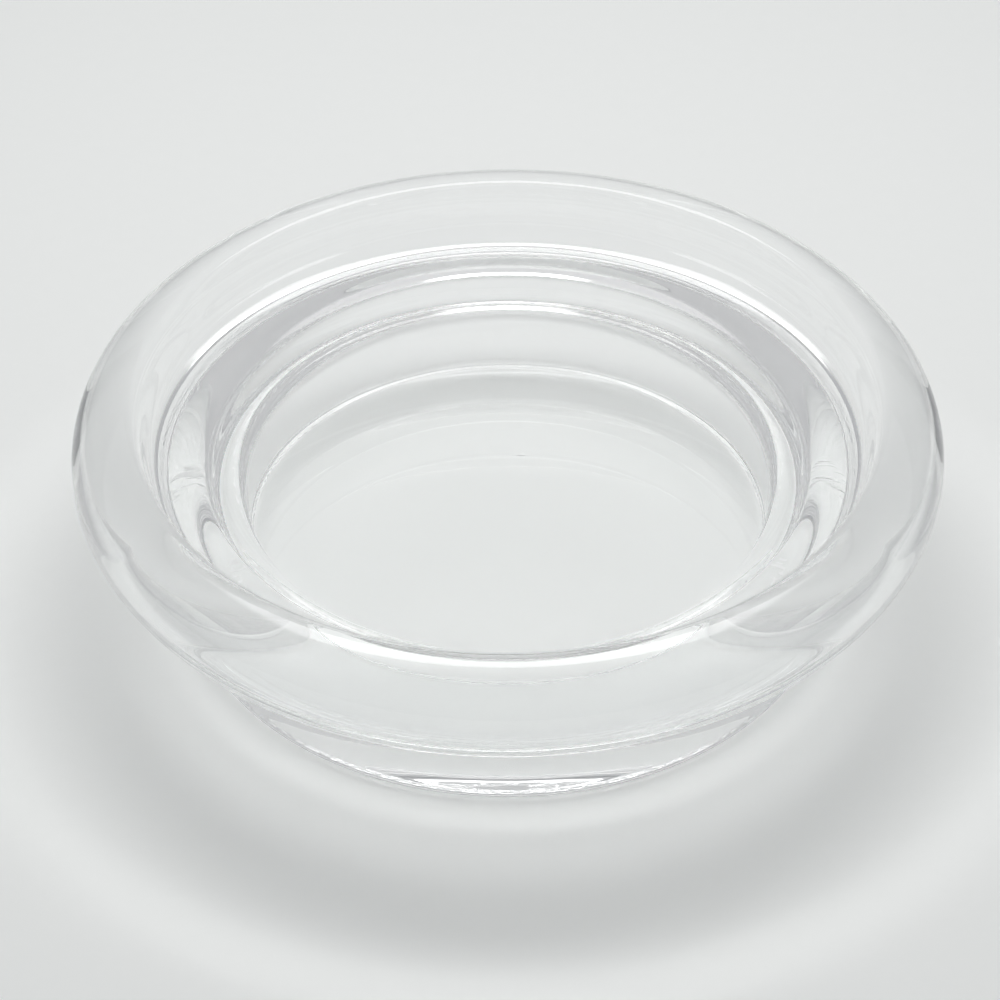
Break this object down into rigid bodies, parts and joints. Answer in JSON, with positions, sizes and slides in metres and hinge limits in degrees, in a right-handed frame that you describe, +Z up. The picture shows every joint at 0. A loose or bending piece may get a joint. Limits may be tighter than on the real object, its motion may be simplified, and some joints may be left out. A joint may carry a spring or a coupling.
{
  "type": "watch glass",
  "caption": "Round clear pressed-glass dish with a wide rounded rim, a flat-floored round well in the middle and a narrower round foot.",
  "frame": {"origin": "centre of the foot, at the height of the table that it stands on", "axes": "+Z up along the axis of revolution, out of the well's mouth"},
  "size_m": [0.067, 0.067, 0.0181],
  "materials": {
    "glass": "fire-polished clear"
  },
  "bodies": {
    "root": {"watch_glass": "glass"}
  },
  "joints": []
}
